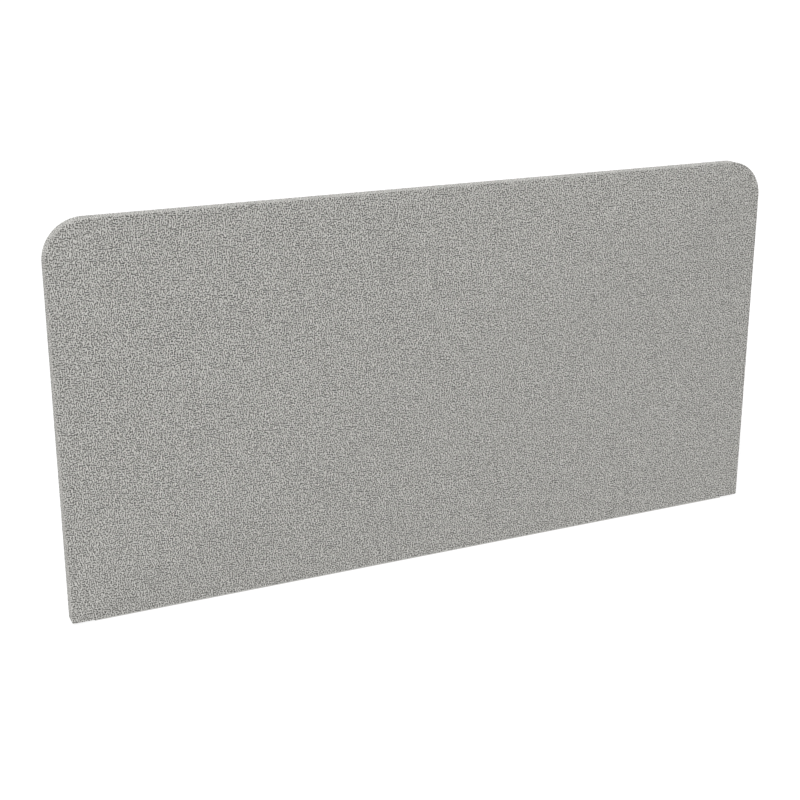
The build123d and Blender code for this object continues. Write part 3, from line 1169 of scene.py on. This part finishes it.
@dataclass
class Padding:
    """What lies between the fabric and the frame: a felt liner each side and an edge wadding."""

    outline: PanelOutline
    liner_inset: float = 1.0 * MM
    wadding: float = 2.0 * MM
    round_over: float = 0.25 * MM

    def build(self, felt: Material, fleece: Material) -> list[Object]:
        """Makes the liners and the wadding, from their two materials."""
        return [*(self._liner(side, felt) for side in Side), self._wadding(fleece)]

    def _liner(self, side: Side, felt: Material) -> Object:
        """Makes one felt liner as a thin closed slab with soft edges.

        Args:
            side: Which face it lies behind.
            felt: The liner's material.

        Returns:
            The piece.
        """
        stem = f"{side.name.lower()}_liner"
        low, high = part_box(stem)
        near, far = sorted((abs(low.y), abs(high.y)))
        edge, soft = self.liner_inset, self.round_over
        section = ((edge + soft, near), (edge, near + soft), (edge, far - soft), (edge + soft, far))
        rings = [
            [point.at(inset, side.value * depth) for point in self.outline.points]
            for inset, depth in section
        ]
        slab = Shell(rings, fanned=True).mesh(f"{stem}_felt", felt)
        piece = finished(slab, stem)
        return piece

    def _wadding(self, fleece: Material) -> Object:
        """Makes the soft band round the sides and the top of the frame.

        Args:
            fleece: The wadding's material.

        Returns:
            The piece.
        """
        low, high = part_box("edge_wadding")
        half, soft = (high.y - low.y) / 2, self.round_over
        outer, inner = self.liner_inset, self.liner_inset + self.wadding
        section = (
            (outer + soft, -half),
            (outer, -half + 2 * soft),
            (outer, 0.0),
            (outer, half - 2 * soft),
            (outer + soft, half),
            (inner, half),
            (inner, 0.0),
            (inner, -half),
        )
        foot = self.outline.bottom + outer
        path = [point for point in self.outline.sewn() if point.z >= foot]
        shell = Shell([[point.at(inset, y) for inset, y in section] for point in path])
        band = shell.mesh("edge_wadding_band", fleece)
        piece = finished(band, "edge_wadding")
        return piece


@dataclass
class HemStaples:
    """Flat-wire staples that hold the hems, the flaps and the tabs."""

    bottom: float
    count: int = 11
    hem_span: float = 1440.0 * MM
    hem_y: float = 11.0 * MM
    flap_x: float = 769.5 * MM
    flap_y: float = 5.2 * MM
    tab_x: float = 792.0 * MM
    tab_y: float = 6.5 * MM
    crown: float = 10.0 * MM
    leg: float = 7.9 * MM
    wire: float = 0.7 * MM
    wire_width: float = 1.2 * MM
    bend: float = 0.6 * MM
    bend_steps: int = 4
    edge_ease: float = 0.22
    proud: float = 0.2 * MM

    def build(self, steel: Material) -> list[Object]:
        """Bends one staple out of flat wire, and sets one at every place.

        Args:
            steel: The wire's material.

        Returns:
            The staples, as one piece.
        """
        tree = GrowingTree("hem_staples")
        crown, leg, wire, width, bend = tree.sizes(self, "crown", "leg", "wire", "wire_width", "bend")
        points, middle = 4, 1.5
        index = tree.result("GeometryNodeInputIndex", "Index")
        hand = tree.math("GREATER_THAN", index, middle) * 2.0 - 1.0
        is_foot = tree.math("GREATER_THAN", abs(index - middle), 1.0)
        centre = wire * 0.5
        place = tree.place(x=hand * ((crown - wire) * 0.5), z=is_foot * (leg - centre) + centre)
        line = tree.mesh("MeshLine", Count=points)
        bent = tree.curve("MeshToCurve", Mesh=tree.whole("SetPosition", Geometry=line, Position=place))
        flat = tree.curve("CurvePrimitiveQuadrilateral", Width=wire, Height=width)
        eased = tree.filleted(flat, wire * self.edge_ease, 1)
        staple = tree.swept(tree.filleted(bent, bend, self.bend_steps), eased)
        number = {"data_type": "FLOAT"}
        turn = tree.result("GeometryNodeInputNamedAttribute", "Attribute", number, Name="turn")
        copies = tree.repeated(staple, tree.carrier, Rotation=tree.place(z=turn))
        mesh = tree.grow("hem_staples_wire", self._places(), copies, steel)
        return [finished(mesh, "hem_staples")]

    def _places(self) -> Mesh:
        """Marks out the staples along both hems, and one in each flap and tab.

        Returns:
            A point for each staple, with its turn about Z.
        """
        places, turns = [], []
        for side in Side:
            for x in spread(self.count, self.hem_span):
                places.append((x, side.value * self.hem_y, self.bottom))
                turns.append(0.0)
        ends = ((self.flap_x, self.flap_y, 0.0), (self.tab_x, self.tab_y, QUARTER))
        for hand in (-1, 1):
            for side in Side:
                for x, y, turn in ends:
                    places.append((hand * x, side.value * y, self.bottom - self.proud))
                    turns.append(turn)
        mesh = plain_mesh("staple_places", places)
        mesh.attributes.new("turn", "FLOAT", "POINT").data.foreach_set("value", turns)
        return mesh


@dataclass
class TrackScrews:
    """Pan-head wood screws that hold the track to the frame.

    A size with share in its name is a share of the head's height, the core's or the head's
    radius, or the straight part of the shank.
    """

    count: int = 6
    span: float = 1400.0 * MM
    seat: float = 11.0 * MM
    head_radius: float = 3.5 * MM
    head_height: float = 2.2 * MM
    skirt_share: float = 0.55
    sunk_share: float = 0.4
    dome_shares: Span = (0.985, 0.68)
    core_radius: float = 1.2 * MM
    point_share: float = 0.08
    length: float = 30.0 * MM
    tip: float = 4.0 * MM
    thread_radius: float = 1.75 * MM
    thread_pitch: float = 1.4 * MM
    thread_share: float = 0.95
    thread_thinning: float = 0.6
    recess_length: float = 3.8 * MM
    recess_width: float = 0.9 * MM
    recess_depth: float = 1.3 * MM
    lap_share: float = 0.02
    lap: float = 0.02 * MM
    head_sides: int = 28
    core_sides: int = 16
    thread_steps: int = 18

    def build(self, steel: Material) -> list[Object]:
        """Grows one threaded screw with a cross recess, and sets one at every place.

        Args:
            steel: The screws' material.

        Returns:
            The screws, as one piece.
        """
        tree = GrowingTree("track_screws")
        head_radius, head_height, core, length, tip = tree.sizes(
            self, "head_radius", "head_height", "core_radius", "length", "tip"
        )
        straight = length - tip
        skirt, sunk = head_height * self.skirt_share, head_height * self.sunk_share
        foot, crown = (head_radius * share for share in self.dome_shares)
        head, shank = {"Vertices": self.head_sides}, {"Vertices": self.core_sides}
        rim = tree.mesh("MeshCylinder", Radius=head_radius, Depth=skirt, **head)
        dome = tree.mesh(
            "MeshCone", Radius_Bottom=foot, Radius_Top=crown, Depth=head_height - skirt, **head
        )
        rod = tree.mesh("MeshCylinder", Radius=core, Depth=straight + sunk, **shank)
        point = tree.mesh(
            "MeshCone", Radius_Bottom=core, Radius_Top=core * self.point_share, Depth=tip, **shank
        )
        upright, flipped = (0.0, 0.0, 0.0), (math.pi, 0.0, 0.0)
        solids = (
            (rim, skirt * -0.5, upright),
            (dome, skirt * (self.lap_share - 1.0), flipped),
            (rod, (straight - sunk) * 0.5, upright),
            (point, straight - self.lap, upright),
            (self._thread(tree, core, straight), straight * (1.0 - self.thread_share), upright),
        )
        stack = [tree.moved(solid, tree.place(z=z), Rotation=turn) for solid, z, turn in solids]
        whole = tree.mesh("MeshBoolean", {"operation": "UNION", "solver": "MANIFOLD"}, Mesh_2=stack)
        cut = {"operation": "DIFFERENCE", "solver": "MANIFOLD"}
        cross = self._recess(tree, head_height)
        screw = tree.mesh("MeshBoolean", cut, Mesh_1=whole, Mesh_2=cross)
        places = [(x, 0.0, self.seat) for x in spread(self.count, self.span)]
        points = plain_mesh("screw_places", places)
        mesh = tree.grow("track_screws_steel", points, tree.repeated(screw, tree.carrier), steel)
        return [finished(mesh, "track_screws")]

    def _thread(self, tree: GrowingTree, core: Wire, straight: Wire) -> Wire:
        """Winds the ridge of the thread round the core.

        Args:
            tree: The tree that the screw grows in.
            core: The core's radius.
            straight: The length of the shank without its tip.

        Returns:
            The thread, from the origin up.
        """
        turns_made = (self.length - self.tip) * self.thread_share / self.thread_pitch
        crest, turns = tree.sizes(self, "thread_radius", turns=turns_made)
        helix = tree.helix(self.thread_steps, turns, core, straight * self.thread_share)
        level = tree.curve("SetCurveNormal", {"mode": "Z_UP"}, Curve=helix)
        ridge = tree.curve("CurvePrimitiveCircle", Resolution=3, Radius=crest - core)
        flat = (1.0, self.thread_thinning, 1.0)
        return tree.swept(level, tree.moved(ridge, Rotation=(0.0, 0.0, math.pi), Scale=flat))

    def _recess(self, tree: GrowingTree, head_height: Wire) -> list[Wire]:
        """Makes the two blocks that cut a cross into the top of the head.

        Args:
            tree: The tree that the screw grows in.
            head_height: How high the top of the head is.

        Returns:
            The blocks.
        """
        long, narrow, deep = tree.sizes(self, "recess_length", "recess_width", "recess_depth")
        top = tree.place(z=head_height * -1.0)
        blocks = [tree.place(*plan, deep * 2.0) for plan in ((long, narrow), (narrow, long))]
        return [tree.moved(tree.mesh("MeshCube", Size=size), top) for size in blocks]


@dataclass
class NutPlates:
    """The two sliding plates, each with two tapped holes."""

    hole_pitch: float = 32.0 * MM
    bore_radius: float = 2.75 * MM
    crest_radius: float = 2.5 * MM
    thread_pitch: float = 1.0 * MM
    thread_share: float = 0.86
    corner_radius: float = 1.0 * MM
    chamfer: float = 0.35 * MM
    corner_steps: int = 5
    bore_sides: int = 32
    thread_steps: int = 24

    def build(self, steel: Material) -> list[Object]:
        """Makes both plates, each on its own body, from their material."""
        return [self._plate(f"{hand}_nut_plate", steel) for hand in ("left", "right")]

    def _plate(self, stem: str, steel: Material) -> Object:
        """Makes one plate with rounded corners and eased edges, and taps its holes.

        Args:
            stem: The plate's node in the construction.
            steel: The plate's material.

        Returns:
            The piece.
        """
        low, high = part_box(stem)
        eased = self.chamfer
        levels = ((low.z, eased), (low.z + eased, 0.0), (high.z - eased, 0.0), (high.z, eased))
        rings = [self._ring(low, high, z, inset) for z, inset in levels]
        middle, deep = (low + high) / 2, high.z - low.z
        own = {"middle_x": middle.x, "middle_z": middle.z, "thickness": deep}
        own["turns"] = self.thread_share * deep / self.thread_pitch
        tree = GrowingTree(f"{stem}_holes")
        pitch, bore, crest, middle_x, middle_z, thickness, turns = tree.sizes(
            self, "hole_pitch", "bore_radius", "crest_radius", **own
        )
        helix = tree.helix(self.thread_steps, turns, bore, thickness * self.thread_share)
        ridge = tree.curve("CurvePrimitiveCircle", Resolution=3, Radius=bore - crest)
        foot = tree.place(z=thickness * (-0.5 * self.thread_share))
        thread = tree.moved(tree.swept(helix, ridge), foot)
        drill = tree.mesh("MeshCylinder", Vertices=self.bore_sides, Radius=bore, Depth=thickness * 2.0)
        places = [tree.place(x=pitch * share + middle_x, z=middle_z) for share in (-0.5, 0.5)]
        drills = [tree.moved(drill, place) for place in places]
        cut = {"operation": "DIFFERENCE"}
        bored = tree.mesh("MeshBoolean", cut, Mesh_1=tree.carrier, Mesh_2=drills)
        threads = [tree.moved(thread, place) for place in places]
        tapped = tree.whole("JoinGeometry", Geometry=[bored, *threads])
        mesh = tree.grow(f"{stem}_tapped", Shell(rings).mesh(f"{stem}_blank"), tapped, steel)
        return finished(mesh, stem, stem)

    def _ring(self, low: Vector, high: Vector, z: float, inset: float) -> list[Vector]:
        """Draws a plate's outline at one level.

        Args:
            low: The plate's lowest corner.
            high: Its highest corner.
            z: The level.
            inset: How far in the outline is drawn there.

        Returns:
            The outline's points, from corner to corner.
        """
        radius = self.corner_radius
        left, right, near, far = low.x + radius, high.x - radius, low.y + radius, high.y - radius
        reach = radius - inset
        ring = []
        for quarter, (x, y) in enumerate(((right, near), (right, far), (left, far), (left, near))):
            for cosine, sine in quarter_arc(quarter - 1, self.corner_steps):
                ring.append(Vector((x + reach * cosine, y + reach * sine, z)))
        return ring


@dataclass
class FrameFinishes:
    """Finishes for the pieces whose shape the construction already holds."""

    nodes: dict[str, Object]
    pine: tuple[Triple, Triple] = ((0.62, 0.44, 0.25), (0.44, 0.26, 0.12))
    beech: tuple[Triple, Triple] = ((0.58, 0.37, 0.23), (0.46, 0.27, 0.15))
    beech_ring_width: float = 3.0 * MM

    def dress(self) -> list[Object]:
        """Gives each of these pieces its material.

        Returns:
            The pieces.
        """
        finishes = {
            SawnTimber("pine_rails", *self.pine, Grain.ALONG_X): ("bottom_rail", "top_rail"),
            SawnTimber("pine_stiles", *self.pine, Grain.ALONG_Z): (
                "left_stile",
                "right_stile",
                "centre_stile",
                "left_corner_block",
                "right_corner_block",
            ),
            SawnTimber(
                "beech_tenons", *self.beech, Grain.ALONG_Z, self.beech_ring_width
            ): ("frame_tenons",),
            WoodFibreboard(): ("left_core_pad", "right_core_pad"),
            AnodisedExtrusion(): ("mounting_track",),
            MouldedNylon(): ("left_end_cap", "right_end_cap"),
        }
        dressed = []
        for finish, names in finishes.items():
            material = finish.make()
            for name in names:
                piece = self.nodes[name]
                if not piece.material_slots:
                    piece.data.materials.append(material)
                for slot in piece.material_slots:
                    slot.material = material
                dressed.append(piece)
        return dressed


@dataclass
class Studio:
    """The floor, the world, the lamps and the camera."""

    eye: Triple = (-1.3375, -2.6708, 1.3463)
    right: Triple = (0.905028, -0.425352, -0.000217)
    ahead: Triple = (0.403374, 0.858442, -0.316806)
    lens: float = 66.947
    sensor: float = 36.0
    floor_size: float = 120.0
    floor_shade: float = 0.3
    floor_glow: float = 0.76
    ambient: float = 0.62
    key_pull: Triple = (-0.39, -0.30, 0.40)
    fill_pull: Triple = (0.2, 0.25, 0.18)
    key_spread: float = math.radians(30.0)
    fill_spread: float = math.radians(50.0)

    def build(self) -> None:
        """Sets the whole studio up."""
        self._floor()
        self._world()
        self._lamp("key_lamp", self.key_pull, self.key_spread)
        self._lamp("fill_lamp", self.fill_pull, self.fill_spread)
        self._camera()
        bpy.context.scene.view_settings.view_transform = "Standard"

    def _seen(self, plan: NodePlan) -> Wire:
        """Finds the rays that show a background, direct or in metal or glass.

        Args:
            plan: The nodes of the background.

        Returns:
            1 for those rays, and else 0.
        """
        rays = plan.node("ShaderNodeLightPath")
        camera, glossy, transmission = (
            Wire(plan, rays.outputs[name])
            for name in ("Is Camera Ray", "Is Glossy Ray", "Is Transmission Ray")
        )
        return plan.math("MAXIMUM", plan.math("MAXIMUM", camera, glossy), transmission)

    def _floor(self) -> None:
        """Makes a pale floor that shows the screen's shadow but casts no light back on it."""
        material = bpy.data.materials.new("pale_floor")
        material.use_nodes = True
        plan = NodePlan(material.node_tree)
        plan.tree.nodes.clear()
        matte = plan.result("ShaderNodeBsdfDiffuse", "BSDF", Color=(self.floor_shade,) * 3)
        strength = self._seen(plan) * self.floor_glow
        glow = plan.result("ShaderNodeEmission", "Emission", Strength=strength)
        both = plan.numbered("ShaderNodeAddShader", {}, {0: matte, 1: glow})
        plan.node("ShaderNodeOutputMaterial", Surface=both)
        reach = self.floor_size / 2
        corners = [(x * reach, y * reach, 0.0) for x, y in ((-1, -1), (1, -1), (1, 1), (-1, 1))]
        mesh = plain_mesh("pale_floor", corners, faces=[range(len(corners))])
        mesh.materials.append(material)
        floor = link_piece(mesh)
        floor.visible_diffuse = False

    def _world(self) -> None:
        """Lights the screen evenly from all round, in front of a white background."""
        world = bpy.data.worlds.new("studio_world")
        bpy.context.scene.world = world
        world.use_nodes = True
        plan = NodePlan(world.node_tree)
        shade = plan.blend(self._seen(plan), (self.ambient,) * 3, WHITE)
        plan.feed(plan.tree.nodes["Background"].inputs["Color"], shade)

    def _lamp(self, name: str, pull: Triple, spread: float) -> None:
        """Adds a soft distant lamp.

        Args:
            name: The lamp's name.
            pull: Where it stands, as the light that it adds to a white face along each axis.
            spread: How wide the lamp looks from the screen, in radians.
        """
        data = bpy.data.lights.new(name, "SUN")
        data.energy = Vector(pull).length * math.pi
        data.angle = spread
        lamp = bpy.data.objects.new(name, data)
        lamp.rotation_mode = "QUATERNION"
        lamp.rotation_quaternion = Vector(pull).to_track_quat("Z", "Y")
        bpy.context.scene.collection.objects.link(lamp)

    def _camera(self) -> None:
        """Stands the camera where the photograph was taken from."""
        data = bpy.data.cameras.new("photo_camera")
        data.sensor_width = self.sensor
        data.lens = self.lens
        camera = bpy.data.objects.new("photo_camera", data)
        back = -Vector(self.ahead).normalized()
        right = Vector(self.right).normalized()
        turn = Matrix((right, back.cross(right), back)).transposed()
        camera.matrix_world = Matrix.Translation(self.eye) @ turn.to_4x4()
        bpy.context.scene.collection.objects.link(camera)
        bpy.context.scene.camera = camera


def main() -> None:
    """Dresses the screen, piece by piece, and sets up the studio."""
    logging.basicConfig(level=logging.INFO, format="%(name)s: %(message)s")
    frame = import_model()
    cover_low, cover_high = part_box("edge_strip")
    outline = PanelOutline(cover_high.x, cover_low.z, cover_high.z)
    half_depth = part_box("rear_cover")[1].y

    made = SewnCover(outline, half_depth).build(CrepeCloth().make(), SewingThread().make())
    made += Padding(outline).build(
        PressedFelt("pressed_felt", FELT_SHADE).make(),
        PressedFelt("white_wadding", FLEECE_SHADE, fibre_size=0.9 * MM, tuft_size=9.0 * MM).make(),
    )
    made += HemStaples(outline.bottom).build(ZincSteel("staple_wire", STAPLE_SHADE).make())
    made += TrackScrews().build(ZincSteel("screw_zinc", SCREW_SHADE).make())
    made += NutPlates().build(ZincSteel("plate_zinc", PLATE_SHADE).make())
    made += FrameFinishes(frame["nodes"]).dress()
    for piece in made:
        material = piece.material_slots[0].material
        log.info("%s: %d faces, %s", piece.name, len(piece.data.polygons), material.name)
    Studio().build()


if __name__ == "__main__":
    main()
